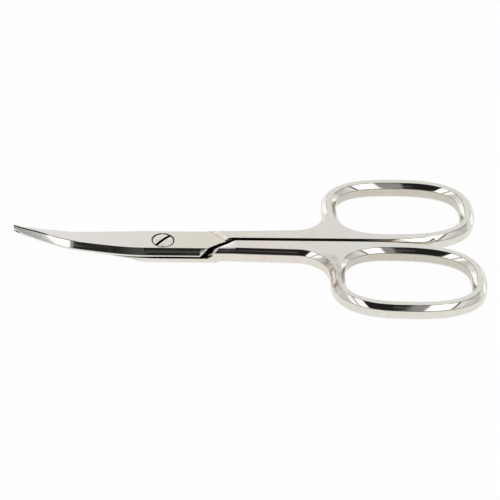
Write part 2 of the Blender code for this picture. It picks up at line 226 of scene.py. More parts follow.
# Painted shade along the gap between the shanks, browner toward the ring
LIP_SHADE = (0.03, 0.028, 0.022, 1.0)
LIP_SHADE_END = (0.42, 0.34, 0.28, 1.0)
# Painted highlight on the step's rounded edge
PAINTED_HIGHLIGHT = (1.0, 1.0, 0.98, 1.0)

# Noise: scale, detail and roughness, then for most the levels between which it fades in
STAINS = (700.0, 4.0, 0.6, 0.35, 0.68)
FLECKS = (2600.0, 2.0, 0.6, 0.30, 0.70)
GRIME_AND_SHADE_SPECKS = (1500.0, 3.0, 0.5, 0.35, 0.6)
RIM_BREAKS = (2200.0, 2.0, 0.5, 0.30, 0.50)
EDGE_BREAKS = (500.0, 2.0, 0.5, 0.25, 0.6)
FOOT_BREAKS = (1600.0, 2.0, 0.5, 0.25, 0.55)
WAVES = (260.0, 2.0, 0.5)
GRIND_LINES = (1.0, 3.0, 0.7)
GRIND_STRETCH = (9000.0, 400.0, 400.0)
RUB_LINES = (1.0, 3.0, 0.6)
RUB_STRETCH = (250.0, 5000.0, 5000.0)
RUB_LEVELS = (0.5, 0.8)
SCREW_STAINS = (1400.0, 4.0, 0.6)
SCREW_STAIN_LEVELS = (0.52, 0.75)
TURNING_PITCH = 0.00009
UPPER_SEED = 0.013
LOWER_SEED = 0.047

# Where the marks lie along an axis or from the pivot. Three numbers are a band: its low, its
# high and how softly it ends. Two are a fade: where it starts and where it is full
HANDLE = (("x", SHOULDER_END, RING_CENTRE / 2),)
WALLS = (("z", HANDLE_CHAMFER, HANDLE_THICKNESS - HANDLE_CHAMFER, 0.00008), *HANDLE)
# Where the dark reflections are painted along the chamfers' two rounded edges
CHAMFER_TOP = (("z", 0.00340, 0.00348, 0.00002), *HANDLE)
CHAMFER_FOOT = (("z", 0.00256, 0.00264, 0.00002), *HANDLE)
RING_MIDDLE_FADE = (1.05, 0.95)
ROUND_SCREW = (("radius", 0.0019, 0.0023, 0.0002), ("z", 0.0021, 0.0023))
SEAT_WALL = (
    ("radius", SEAT_RADIUS + 0.00004, SEAT_RADIUS),
    ("z", SEAT_DEPTH, JOINT_THICKNESS - 0.00006, 0.00004),
    ("y", -0.0019, -0.0006),
)
SEAT_RIM = (("radius", 0.00234, 0.00228), ("z", 0.00290, 0.00294), ("y", 0.0002, 0.0009))
STEP_WALLS = (
    ("x", SHOULDER_START, SHOULDER_START + 0.0002),
    ("x", SHOULDER_END + 0.0008, SHOULDER_END),
)
UPPER_STEP = (*STEP_WALLS, ("y", 0.0004, 0.0003))
UPPER_STEP_FADE = (0.0, 0.0001)
UPPER_STEP_HEIGHT = 0.0018
UPPER_STEP_SLOPE = 0.67
UPPER_STEP_TOP = 0.0029
LOWER_STEP = (*STEP_WALLS, ("y", -0.0031, -0.0029), ("z", 0.00146, 0.0027, 0.00004))
RAMP = (("z", 0.00303, 0.00347, 0.00003), ("y", 0.0, 0.0001), ("x", 0.0075, 0.0130, 0.0001))
RAMP_FOOT = (("z", 0.0029, 0.0032, 0.0001), ("y", 0.0, 0.0002))
RAMP_FOOT_WIDTH = (-0.00002, 0.00010, 0.00003)
CREST_STATIONS = 15
THICK_CREST = (("x", -0.0215, -0.0225),)
THICK_CREST_WIDTH = (0.00016, 0.00010)
THIN_CREST = (("x", -0.0160, -0.0170),)
THIN_CREST_WIDTH = (0.00007, 0.00004)
LIP = (
    ("y", 0.00052, 0.00044),
    ("z", 0.0029, 0.0030),
    ("x", SHOULDER_END, SHOULDER_END + 0.0004),
    ("x", 0.0490, 0.0440),
)
LIP_BROWN = (("x", 0.0380, 0.0440),)
NECK = (
    ("z", 0.0026, 0.0035, 0.0001),
    ("x", 0.0300, 0.0332, 0.0004),
    ("y", -0.0150, -0.0052, 0.0012),
)
HEEL = (("x", -0.0100, -0.0046, 0.0008), ("y", -0.0020, -0.0026))
# Where the highlight is painted along the step's edge and down its corner
HIGHLIGHT_TOP = (("z", 0.0031, 0.00349, 0.00003), ("x", 0.0139, 0.0135), ("y", -0.0029, -0.0027))
HIGHLIGHT_CORNER = (("x", 0.0082, 0.0083), ("z", 0.0014, 0.0015), ("y", -0.0026, -0.0027))
HIGHLIGHT_CORNER_SLANT = 1.05
HIGHLIGHT_CORNER_FADE = (0.00708, 0.00698)
GROUND_BLADE = (("x", -BLADE_ROOT, -2.5 * BLADE_ROOT),)
GROUND_TIP = (("x", -0.0218, -0.0236),)
SLOT_FADE = (SLOT_WIDTH / 2 + 0.00004, SLOT_WIDTH / 2)

# Gloss and relief, and how much of each patchy mark and painted shade shows everywhere
GRIME_AND_SHADE_SHARE = 0.35
WALL_SHADE_SHARE = 0.4
RAMP_SHARE = 0.55
NECK_SHARE = 0.3
HEEL_SHARE = 0.2
NICKEL_ROUGHNESS = 0.04
HIGHLIGHT_ROUGHNESS = 0.35
TIP_ROUGHNESS = 0.22
TIP_LINE_ROUGHNESS = 0.20
STAIN_ROUGHNESS = 0.04
RUB_ROUGHNESS = 0.03
GRIND_ROUGHNESS = 0.05
GRIME_ROUGHNESS = 0.25
WAVE_RELIEF = 0.8
RUB_RELIEF = 0.06
GRIND_RELIEF = 0.05
NICKEL_RELIEF = 0.35
SCREW_ROUGHNESS = 0.16
SCREW_STAIN_ROUGHNESS = 0.14
TURNING_ROUGHNESS = 0.05
TURNING_RELIEF = 0.10
SCREW_STAIN_RELIEF = 0.35
SCREW_RELIEF = 0.5
RELIEF_DEPTH = 0.00002

# The room that the steel mirrors, in shares of height. The gap, each patch and the corner have
# a strength and their bands across and toward the front; the patches are two windows, a grey
# blind, a faint stripe and a grey wall
LOWEST_HEIGHT = 0.02
ROOM_LEVEL = 0.92
GAP = (0.98, (-0.86, 0.80, 0.05), (0.14, 1.45, 0.06))
PATCHES = (
    (1.5, (0.26, 0.72, 0.02), (0.18, 1.30, 0.06)),
    (1.5, (-0.77, -0.48, 0.02), (0.18, 1.30, 0.06)),
    (0.30, (0.13, 0.26, 0.02), (0.18, 1.30, 0.06)),
    (0.06, (0.03, 0.20, 0.02), (0.70, 0.82, 0.03)),
    (0.42, (-1.10, -0.78, 0.02), (-0.25, 1.30, 0.06)),
)
CORNER = (1.0, (0.64, 2.40, 0.04), (-0.90, 0.16, 0.04))
CORNER_LEVEL = 0.40
CORNER_GAIN = 0.25
CORNER_GAIN_FADE = (0.70, 1.20)
FRONT_SHADE_FADE = (1.25, 1.7)
FRONT_SHADE_SHARE = 0.75
BACK_LIGHT_FADE = (2.0, 3.6)
BACK_LIGHT_LEVEL = 0.36
SIDE_SHADE_FADE = (0.90, 1.30)
SIDE_SHADE_FRONT_FADE = (-0.8, -0.3)
SIDE_SHADE_SHARE = 0.20

UPPER = 1
LOWER = -1


# Plain numbers

def smooth_share(value):
    """A share that starts and ends gently, held between zero and one."""
    share = min(max(value, 0.0), 1.0)
    return share * share * (3.0 - 2.0 * share)


def between(start, end, share):
    return start + (end - start) * share


def bezier(points, share):
    """A point on the cubic curve that four points steer."""
    rest = 1.0 - share
    factors = (rest**3, 3.0 * rest**2 * share, 3.0 * rest * share**2, share**3)
    return sum(factor * np.array(point) for factor, point in zip(factors, points))


# Meshes

def bridge(bm, sections):
    """Walls between rings of points that run alike; returns the rings of vertices."""
    rings = [[bm.verts.new(point) for point in section] for section in sections]
    for ring, following in zip(rings, rings[1:]):
        for index in range(len(ring)):
            after = (index + 1) % len(ring)
            bm.faces.new((ring[index], ring[after], following[after], following[index]))
    return rings


def mesh_object(name, bm):
    bmesh.ops.remove_doubles(bm, verts=bm.verts, dist=WELD)
    bmesh.ops.recalc_face_normals(bm, faces=bm.faces)
    mesh = bpy.data.meshes.new(name)
    bm.to_mesh(mesh)
    bm.free()
    item = bpy.data.objects.new(name, mesh)
    bpy.context.scene.collection.objects.link(item)
    return item


def loft(name, sections):
    """A solid through rings of points that run alike, closed at both ends."""
    bm = bmesh.new()
    rings = bridge(bm, sections)
    bm.faces.new(rings[0])
    bm.faces.new(rings[-1])
    return mesh_object(name, bm)


def towards(corner, neighbour, radius):
    """The point where a corner's arc starts, at most a third of the way to its neighbour."""
    length = np.hypot(*(neighbour - corner))
    reach = min(radius, length / CORNER_LIMIT)
    return corner + (neighbour - corner) * reach / max(length, WELD)


def rounded(section, radii):
    """The section with each corner turned in a short arc."""
    points = np.array(section)
    before = np.roll(points, 1, axis=0)
    after = np.roll(points, -1, axis=0)
    result = []
    for corner, left, right, radius in zip(points, before, after, radii):
        towards_left = towards(corner, left, radius)
        towards_right = towards(corner, right, radius)
        for share in np.linspace(0.0, 1.0, CORNER_STEPS + 1):
            rest = 1.0 - share
            curve = rest**2 * towards_left + 2.0 * rest * share * corner + share**2 * towards_right
            result.append(tuple(curve))
    return result


# Plan of the shoulder

def lap_end(share):
    """The slanting end of the upper half's lap, from its spine to the gap between the shanks."""
    run = SHOULDER_END - SHOULDER_START
    rise = SPINE_HALF_WIDTH + HANDLES_GAP / 2
    points = [
        (SHOULDER_START + run * along, rise * across - SPINE_HALF_WIDTH)
        for along, across in SHOULDER_CURVE_SHARES
    ]
    return bezier(points, share)


def step_face(share):
    """The upper half's step, which faces the slanting end of the lower half's lap."""
    x, y = lap_end(share)
    return np.array((x + between(OUTER_PLAY, INNER_PLAY, share), HANDLES_GAP - y))


def curve_table(curve):
    return np.array([curve(share) for share in np.linspace(0.0, 1.0, TABLE_STEPS)])


LAP_END_TABLE = curve_table(lap_end)
STEP_TABLE = curve_table(step_face)


# Plan of the ring and shank

def even(points, count):
    """The same closed outline with evenly spaced points."""
    closed = np.vstack([points, points[:1]])
    lengths = np.hypot(*np.diff(closed, axis=0).T)
    travelled = np.concatenate([[0.0], np.cumsum(lengths)])
    wanted = np.linspace(0.0, travelled[-1], count, endpoint=False)
    return np.column_stack([np.interp(wanted, travelled, closed[:, k]) for k in (0, 1)])


def normals(points):
    """Outward normals of an outline that runs anticlockwise."""
    tangent = np.roll(points, -1, axis=0) - np.roll(points, 1, axis=0)
    tangent /= np.hypot(*tangent.T)[:, None]
    return np.column_stack([tangent[:, 1], -tangent[:, 0]])


def ring_oval(outset):
    """The ring's oval about its own centre, moved outward from the bar's middle by outset."""
    angle = np.linspace(0.0, 2.0 * math.pi, OVAL_TRIAL_POINTS, endpoint=False)
    power = 2.0 / RING_FULLNESS_SHARE
    reach_x = np.where(np.cos(angle) > 0.0, RING_BACK_REACH, RING_FRONT_REACH)
    reach_y = np.where(np.sin(angle) > 0.0, RING_OUTER_REACH, RING_INNER_REACH)
    x = reach_x * np.sign(np.cos(angle)) * np.abs(np.cos(angle)) ** power
    y = reach_y * np.sign(np.sin(angle)) * np.abs(np.sin(angle)) ** power
    tilt = math.radians(RING_TILT_DEGREES)
    turned_x = x * math.cos(tilt) - y * math.sin(tilt)
    turned_y = x * math.sin(tilt) + y * math.cos(tilt)
    middle = even(np.column_stack([turned_x, turned_y]), OVAL_POINTS)
    return middle + normals(middle) * outset


def ring_centre():
    """The ring's centre, placed so that the ring ends at the gap between the halves."""
    lowest = ring_oval(RING_BAR / 2)[:, 1].min()
    return np.array((RING_CENTRE, HANDLES_GAP / 2 - lowest))


def arc(centre, start, end, count):
    """Points along the shorter arc from start to end."""
    first = math.atan2(*(start - centre)[::-1])
    turn = (math.atan2(*(end - centre)[::-1]) - first + math.pi) % (2.0 * math.pi) - math.pi
    radius = np.hypot(*(start - centre))
    angles = first + turn * np.linspace(0.0, 1.0, count)
    return centre + radius * np.column_stack([np.cos(angles), np.sin(angles)])


def straight(start, end):
    """Points from start to end, both left out, about one wall step apart."""
    count = max(1, round(float(np.hypot(*(end - start))) / WALL_STEP))
    return [start + (end - start) * k / count for k in range(1, count)]


def ring_fillet(outer, wall_start, wall_end):
    """Fillet between the ring's front and the shank's outer wall."""
    along = (wall_end - wall_start) / np.hypot(*(wall_end - wall_start))
    upward = np.array((-along[1], along[0]))
    centres = outer + normals(outer) * RING_FILLET
    height = (centres - wall_start) @ upward - RING_FILLET
    top = int(np.argmax(outer[:, 1]))
    crossing = top + int(np.argmax(height[top:] <= 0.0))
    foot = centres[crossing] - upward * RING_FILLET
    return crossing, arc(centres[crossing], outer[crossing], foot, FILLET_POINTS)


def handle_outline():
    """Outline of the upper half's shank and ring, anticlockwise, run on past its step."""
    outer = ring_oval(RING_BAR / 2) + ring_centre()
    bend = np.array((SHOULDER_END, EDGE_HALF_WIDTH))
    wall_end = np.array((RING_CENTRE - RING_FRONT_REACH, SHANK_WIDTH_AT_RING))
    crossing, fillet = ring_fillet(outer, bend, wall_end)
    lowest = int(np.argmin(outer[:, 1])) - len(outer)
    around = outer[np.arange(lowest, crossing) % len(outer)]
    around = around[:: len(outer) // RING_POINTS]
    end_outer = np.array((FLAT_END_OUTER - HANDLE_CHAMFER, EDGE_HALF_WIDTH))
    end_inner = np.array((FLAT_END_OUTER - HANDLE_CHAMFER, HANDLES_GAP / 2))
    points = [*around, *fillet]
    points += straight(fillet[-1], bend)
    points += [bend, end_outer, end_inner]
    points += straight(end_inner, around[0])
    return np.array(points)


def ring_hole():
    return even(ring_oval(-RING_BAR / 2) + ring_centre(), RING_POINTS)


# Shank and ring

def chamfer_legs(outline):
    """Chamfer along each outline point: small between the two shanks, full round the ring."""
    legs = []
    for x, y in outline:
        grown = (x - INNER_CHAMFER_END) / (FULL_CHAMFER_START - INNER_CHAMFER_END)
        inside = y < SHANK_WIDTH_AT_RING / 2 and grown < 1.0
        leg = between(INNER_CHAMFER, HANDLE_CHAMFER, max(0.0, grown) ** CHAMFER_GROWTH_SHARE)
        legs.append(leg if inside else HANDLE_CHAMFER)
    return np.array(legs)


def inset(outline, legs):
    """Each point moved inward so that its two sides move by its leg."""
    side = np.roll(outline, -1, axis=0) - outline
    side /= np.hypot(*side.T)[:, None]
    after = np.column_stack([-side[:, 1], side[:, 0]])
    before = np.roll(after, 1, axis=0)
    spread = 1.0 + np.sum(before * after, axis=1)
    return outline + (before + after) / spread[:, None] * legs[:, None]


def chamfer_path():
    """Inset and drop along the crowned chamfer and its two eased edges, in shares of the leg."""
    rounding = EDGE_ROUNDING / HANDLE_CHAMFER
    slant = DIAGONAL_SHARE * rounding
    eased = [
        (1.0 + rounding * (1.0 - share) ** 2 - slant * share**2, slant * share**2)
        for share in EASE_SHARES
    ]
    crowned = []
    for share in np.linspace(0.0, 1.0, CROWN_STEPS):
        along = between(slant, 1.0 - slant, share)
        crown = CHAMFER_CROWN_SHARE * 4.0 * share * (1.0 - share) * DIAGONAL_SHARE
        crowned.append((1.0 - along - crown, along - crown))
    top = [(1.0 + rounding, 0.0), *eased]
    return [*top, *crowned, *[(drop, inward) for inward, drop in top[::-1]]]


def add_wall(bm, outline, legs):
    """The chamfered wall over an outline; returns its bottom and top edge loops."""
    path = chamfer_path()
    levels = [(inset(outline, legs * inward), legs * drop) for inward, drop in path]
    levels += [(points, HANDLE_THICKNESS - drop) for points, drop in levels[::-1]]
    rings = bridge(bm, [np.column_stack([points, heights]) for points, heights in levels])
    loops = []
    for ring in (rings[0], rings[-1]):
        loops.append([bm.edges.get((ring[k - 1], ring[k])) for k in range(len(ring))])
    return loops


def handle_plate(name, side):
    """Shank and ring of one half: a chamfered plate with the finger hole."""
    outline = handle_outline()
    hole = ring_hole()[::-1]
    bm = bmesh.new()
    outer_loops = add_wall(bm, outline, chamfer_legs(outline))
    hole_loops = add_wall(bm, hole, np.full(len(hole), HANDLE_CHAMFER))
    for outer_loop, hole_loop in zip(outer_loops, hole_loops):
        bmesh.ops.triangle_fill(bm, use_beauty=True, edges=outer_loop + hole_loop)
    bmesh.ops.scale(bm, vec=(1.0, side, 1.0), verts=bm.verts)
    return mesh_object(name, bm)


# Lap and blade, still straight: the forge bends them

def blade_share(x):
    """Zero at the blade's root, one at its tip."""
    return min(max((-x - BLADE_ROOT) / (BLADE_LENGTH - BLADE_ROOT), 0.0), 1.0)


def climb(slope_shares, x):
    """How far a line with these slopes has moved sideways at x."""
    shares, slopes = np.array(slope_shares).T
    step = max(0.0, -x) / BLADE_LENGTH / SLOPE_STEPS
    middles = (np.arange(SLOPE_STEPS) + 0.5) * step
    return BLADE_LENGTH * step * float(np.interp(middles, shares, slopes).sum())


def tapered(root, slope_shares, x):
    return max(TIP_HALF_WIDTH, root - climb(slope_shares, x))


def blade_thickness(x):
    root = (JOINT_THICKNESS - LAP_GAP) / 2
    return between(root, TIP_THICKNESS, blade_share(x) ** THINNING_SHARE)


def spine_side(x):
    """How far the lap or blade reaches on its spine's side, and its bevel there."""
    if x > SHOULDER_START:
        table = LAP_END_TABLE
        tail = (table[-1] - table[-2]) / (table[-1, 0] - table[-2, 0])
        y = np.interp(x, table[:, 0], table[:, 1]) + tail[1] * max(0.0, x - SHOULDER_END)
        return y, max(0.0, -y - SPINE_HALF_WIDTH + SPINE_BEVEL)
    half_width = tapered(SPINE_HALF_WIDTH, SPINE_SLOPE_SHARES, x)
    thickness_share = blade_thickness(x) / blade_thickness(0.0)
    return -half_width, min(SPINE_BEVEL * thickness_share, half_width)


def edge_side(x):
    """How far the lap or blade reaches on its cutting edge's side."""
    corner = np.interp(-EDGE_HALF_WIDTH, -STEP_TABLE[:, 1], STEP_TABLE[:, 0])
    if x > corner:
        return (np.interp(x, STEP_TABLE[:, 0], STEP_TABLE[:, 1]) + EDGE_HALF_WIDTH) / 2
    return tapered(EDGE_HALF_WIDTH, EDGE_SLOPE_SHARES, x)


def lap_section(x, side):
    """Offsets across and away from the parting surface, from spine over back to edge."""
    heel_grind = UPPER_HEEL_GRIND if side == UPPER else LOWER_HEEL_GRIND
    nose_grind = UPPER_NOSE_GRIND if side == UPPER else LOWER_NOSE_GRIND
    near, bevel = spine_side(x)
    far = edge_side(x)
    ground = smooth_share((-x - BLADE_ROOT) / CHOIL_LENGTH)
    closed = smooth_share(-x / (BLADE_ROOT + CHOIL_LENGTH))
    bottom = LAP_GAP / 2 - BLADE_FIT * closed
    top = LAP_GAP / 2 + blade_thickness(x)
    wedge = min(max((WEDGE_START - x) / WEDGE_LENGTH, 0.0), 1.0)
    nose = min(max((-x - BLADE_ROOT) / (NOSE_GRIND_START - BLADE_ROOT), 0.0), 1.0)
    grind = between(EDGE_CHAMFER, between(heel_grind, nose_grind, nose), ground)
    grind = min(grind, (far - near - bevel) / 2)
    edge_height = LAP_GAP / 2 + min(EDGE_THICKNESS, (top - bottom) * EDGE_LIMIT_SHARE)
    wall_z = between(top - EDGE_CHAMFER, edge_height - BLADE_FIT * closed, wedge)
    return (
        (near, bottom),
        (near, top - bevel),
        (near + bevel, top),
        (far - grind, top),
        (far, wall_z),
        (far, bottom),
        ((near + far) / 2, bottom + HOLLOW_DEPTH * ground),
    )


def lap_blank(name, side):
    """Lap and blade of one half before bending, above the parting surface or below it."""
    turn = [k / BLADE_STEPS for k in range(BLADE_STEPS, 0, -1)]
    run = BLADE_LENGTH - BLADE_ROOT
    blade = [-BLADE_ROOT - run * math.sin(share * math.pi / 2) for share in turn]
    neck = np.linspace(-BLADE_ROOT, SHOULDER_START, LAP_STEPS, endpoint=False)
    lap = np.linspace(SHOULDER_START, SHOULDER_END, LAP_STEPS)
    parting = JOINT_THICKNESS / 2
    sections = []
    for x in (*blade, *neck, *lap, SHOULDER_END + LAP_ROOT):
        corners = lap_section(x, side)
        radii = np.full(len(corners), BLADE_ROUNDING)
        radii[2] = between(BLADE_ROUNDING, CREST_ROUNDING, blade_share(x) ** CREST_GROWTH_SHARE)
        into_end = smooth_share((x - SHOULDER_START) / (2 * LAP_END_ROUNDING))
        radii[1] = between(BLADE_ROUNDING, LAP_END_ROUNDING, into_end)
        section = rounded(corners, radii)
        sections.append([(x, side * y, parting + side * z) for y, z in section])
    return loft(name, sections)


# Cutters

def step_face_levels():
    """Heights of the lower half's step, with how far its foot and its rounded edge lie outward."""
    lap_top = (JOINT_THICKNESS - LAP_GAP) / 2
    levels = [(lap_top / 2, -STEP_FOOT_WIDTH, 0.0)]
    for turn in np.linspace(0.0, math.pi / 2, STEP_EASE_STEPS):
        height = lap_top + STEP_FOOT_HEIGHT * (1.0 - math.cos(turn))
        levels.append((height, STEP_FOOT_WIDTH * (math.sin(turn) - 1.0), 0.0))
    for turn in np.linspace(0.0, math.pi / 2, STEP_EASE_STEPS):
        height = HANDLE_THICKNESS - STEP_EASE_HEIGHT * (1.0 - math.sin(turn))
        levels.append((height, 0.0, STEP_EASE_WIDTH * (1.0 - math.cos(turn))))
    levels.append((HANDLE_THICKNESS + CUT_OVERRUN, 0.0, STEP_EASE_WIDTH))
    return levels


def step_plan():
    """The step's face in plan, with its outer end eased, and its outward normals."""
    face = STEP_TABLE[::2]
    along = np.gradient(face, axis=0)
    along /= np.hypot(*along.T)[:, None]
    outer = face[0] - along[0] * (CUT_OVERRUN + STEP_FOOT_WIDTH)
    inner = face[-1] + along[-1] * LAP_ROOT
    face = np.vstack([outer, face, inner])
    near_wall = np.maximum(0.0, face[:, 1] - EDGE_HALF_WIDTH + STEP_END_EASE) / STEP_END_EASE
    face[:, 0] += STEP_END_EASE * np.minimum(near_wall, STEP_END_LIMIT) ** 2
    outermost = np.clip((face[:, 1] - STEP_REACH_START) / STEP_REACH_RUN, 0.0, 1.0)
    face[:, 0] -= STEP_REACH * outermost**2 * (3.0 - 2.0 * outermost)
    along = np.vstack([along[0], along, along[-1]])
    return face, np.column_stack([-along[:, 1], along[:, 0]])


def step_cutter(name, side):
    """Ends the shank at its step, which has a hollow foot and a rounded free edge."""
    face, outward = step_plan()
    travelled = np.linspace(0.0, 1.0, len(face))
    foot_fade = (1.0 - travelled)[:, None]
    edge_fade = (1.0 - STEP_EASE_LOSS_SHARE * travelled**2)[:, None]
    away_x = SHOULDER_START - LAP_ROOT
    away = np.array([[away_x, face[-1, 1]], [away_x, face[0, 1]]])
    sections = []
    for height, foot, ease in step_face_levels():
        plan = np.vstack([face + outward * (foot * foot_fade + ease * edge_fade), away])
        z = height if side == LOWER else HANDLE_THICKNESS - height
        sections.append([(x, side * y, z) for x, y in plan])
    return loft(name, sections)


def joint_flat_cutter(name):
    """Clears the upper half's joint down to its flat, with a ramp up to the shank."""
    inner = np.array((FLAT_END_INNER, 0.0))
    outer = np.array((FLAT_END_OUTER, EDGE_HALF_WIDTH - HANDLE_CHAMFER))
    line = (outer - inner) / np.hypot(*(outer - inner))
    across = np.array((line[1], -line[0]))
    start = inner - line * EDGE_HALF_WIDTH
    end = outer + line * EDGE_HALF_WIDTH
    rise = HANDLE_THICKNESS - JOINT_THICKNESS
    top_shift = across * FLAT_RAMP_RUN * (rise + CUT_OVERRUN) / rise
    left = np.array((-SHOULDER_END, 0.0))
    bottom = [start, end, end + left, start + left]
    top = [start + top_shift, end + top_shift, end + left, start + left]
    sections = [
        [(x, y, JOINT_THICKNESS) for x, y in bottom],
        [(x, y, HANDLE_THICKNESS + CUT_OVERRUN) for x, y in top],
    ]
    return loft(name, sections)


# Nodes, for shaders and for geometry

class Socket:
    """A node's output that Python's operators work on; each adds a Math node."""

    def __init__(self, graph, socket):
        self.graph = graph
        self.socket = socket

    def math(self, operation, *values):
        sockets = dict(enumerate(values))
        return self.graph.node("ShaderNodeMath", {"operation": operation}, sockets)

    def __add__(self, other):
        return self.math("ADD", self, other)

    __radd__ = __add__

    def __sub__(self, other):
        return self.math("SUBTRACT", self, other)

    def __rsub__(self, other):
        return self.math("SUBTRACT", other, self)

    def __mul__(self, other):
        return self.math("MULTIPLY", self, other)

    __rmul__ = __mul__

    def __truediv__(self, other):
        return self.math("DIVIDE", self, other)

    def __pow__(self, other):
        return self.math("POWER", self, other)

    def __mod__(self, other):
        return self.math("MODULO", self, other)

    def __abs__(self):
        return self.math("ABSOLUTE", self)

    def max(self, other):
        return self.math("MAXIMUM", self, other)

    def min(self, other):
        return self.math("MINIMUM", self, other)

    def ramp(self, start, end):
        """Zero before start, one after end, smooth between; end may be the lower of the two."""
        values = {"Value": self, "From Min": start, "From Max": end}
        return self.graph.node("ShaderNodeMapRange", {"interpolation_type": "SMOOTHSTEP"}, values)

    def within(self, low, high, soft):
        """One between low and high, zero outside, with soft edges."""
        return self.ramp(low - soft, low + soft) * self.ramp(high + soft, high - soft)


class Graph:
    """A node tree that grows by one method."""

    def __init__(self, tree):
        self.tree = tree
        tree.nodes.clear()

    def node(self, kind, settings=None, values=None, output=0):
        """Adds a node: its settings first, then a value or a link for each socket."""
        node = self.tree.nodes.new(kind)
        for name, value in (settings or {}).items():
            setattr(node, name, value)
        for key, value in (values or {}).items():
            for one in value if isinstance(value, list) else [value]:
                if isinstance(one, Socket):
                    self.tree.links.new(one.socket, node.inputs[key])
                else:
                    node.inputs[key].default_value = one
        if output is None:
            return node
        return Socket(self, node.outputs[output])

    def split(self, vector):
        """The three parts of a vector."""
        node = self.node("ShaderNodeSeparateXYZ", None, {"Vector": vector}, output=None)
        return [Socket(self, socket) for socket in node.outputs]

    def mix(self, factor, first, second):
        """A colour between two colours."""
        values = {"Factor": factor, "A": first, "B": second}
        return self.node("ShaderNodeMix", {"data_type": "RGBA"}, values, output="Result")

    def tinted(self, factor, colour, tint):
        """The colour multiplied by a tint as far as the factor says."""
        values = {"Factor": factor, "A": colour, "B": tint + (1.0,)}
        settings = {"data_type": "RGBA", "blend_type": "MULTIPLY"}
        return self.node("ShaderNodeMix", settings, values, output="Result")


def material_graph(name):
    material = bpy.data.materials.new(name)
    material.use_nodes = True
    return material, Graph(material.node_tree)


# Geometry trees

def geometry_tree(name, sizes):
    """A tree with a mesh in, a mesh out and one named input for each size."""
    group = bpy.data.node_groups.new(name, "GeometryNodeTree")
    interface = group.interface
    interface.new_socket("Geometry", in_out="INPUT", socket_type="NodeSocketGeometry")
    interface.new_socket("Geometry", in_out="OUTPUT", socket_type="NodeSocketGeometry")
    keys = {}
    for label, kind in sizes.items():
        keys[label] = interface.new_socket(label, in_out="INPUT", socket_type=kind).identifier
    graph = Graph(group)
    entry = graph.node("NodeGroupInput", output=None)
    inputs = {socket.name: Socket(graph, socket) for socket in entry.outputs if socket.name}
    return group, keys, graph, inputs


def end_tree(graph, geometry, steel):
    """Every tree ends in Realize Instances and Set Material."""
    realized = graph.node("GeometryNodeRealizeInstances", None, {"Geometry": geometry})
    values = {"Geometry": realized, "Material": steel}
    finished = graph.node("GeometryNodeSetMaterial", None, values)
    graph.node("NodeGroupOutput", None, {"Geometry": finished}, output=None)


def boolean(graph, operation, first, seconds):
    """First joined with the others, or with the others taken away."""
    settings = {"operation": operation, "solver": "MANIFOLD"}
    values = {"Mesh 1": first, "Mesh 2": seconds}
    if operation == "UNION":
        values = {"Mesh 2": [first, *seconds]}
    return graph.node("GeometryNodeMeshBoolean", settings, values)


def drilled(graph, radius, bottom, top):
    """A round cutter about the pivot's axis."""
    values = {"Vertices": BORE_POINTS, "Radius": radius, "Depth": top - bottom}
    cylinder = graph.node("GeometryNodeMeshCylinder", None, values)
    place = graph.node("ShaderNodeCombineXYZ", None, {"Z": (top + bottom) / 2})
    return graph.node("GeometryNodeTransform", None, {"Geometry": cylinder, "Translation": place})


def bend_arcs():
    """The blade's bend as arcs: where each starts, and how much it adds to the slope's gradient."""
    shares, slopes = np.array(BEND_SLOPE_SHARES).T
    gradients = np.diff(slopes) / np.diff(shares)
    return list(zip(shares.tolist(), np.diff(gradients, prepend=0.0).tolist()))


def bend_offset(graph, length):
    """How far the bend lifts each point of the blade."""
    x, _, _ = graph.split(graph.node("GeometryNodeInputPosition"))
    reach = (0 - x) / length
    lift = 0.0
    for start, gradient in bend_arcs():
        past = (reach - start).max(0.0)
        lift = lift + past * past * (gradient / 2)
    return graph.node("ShaderNodeCombineXYZ", None, {"Z": lift * length})


def forge_tree():
    """Cuts the step and the flat, joins the bent blade, then cuts the bore and the seat."""
    solids = ("Lap", "Step Cutter", "Flat Cutter")
    lengths = ("Blade Length", "Bore Radius", "Seat Radius", "Seat Bottom", "Top", "Bottom")
    sizes = {label: "NodeSocketObject" for label in solids}
    sizes.update({label: "NodeSocketFloat" for label in lengths})
    sizes["Steel"] = "NodeSocketMaterial"
    group, keys, graph, inputs = geometry_tree("forged_half", sizes)
    lap, step_cutter_mesh, flat_cutter_mesh = [
        graph.node("GeometryNodeObjectInfo", None, {"Object": inputs[label]}, output="Geometry")
        for label in solids
    ]
    offset = bend_offset(graph, inputs["Blade Length"])
    bent = graph.node("GeometryNodeSetPosition", None, {"Geometry": lap, "Offset": offset})
    cut = boolean(graph, "DIFFERENCE", inputs["Geometry"], [step_cutter_mesh, flat_cutter_mesh])
    joined = boolean(graph, "UNION", cut, [bent])
    bore = drilled(graph, inputs["Bore Radius"], inputs["Bottom"], inputs["Top"])
    seat = drilled(graph, inputs["Seat Radius"], inputs["Seat Bottom"], inputs["Top"])
    end_tree(graph, boolean(graph, "DIFFERENCE", joined, [bore, seat]), inputs["Steel"])
    return group, keys


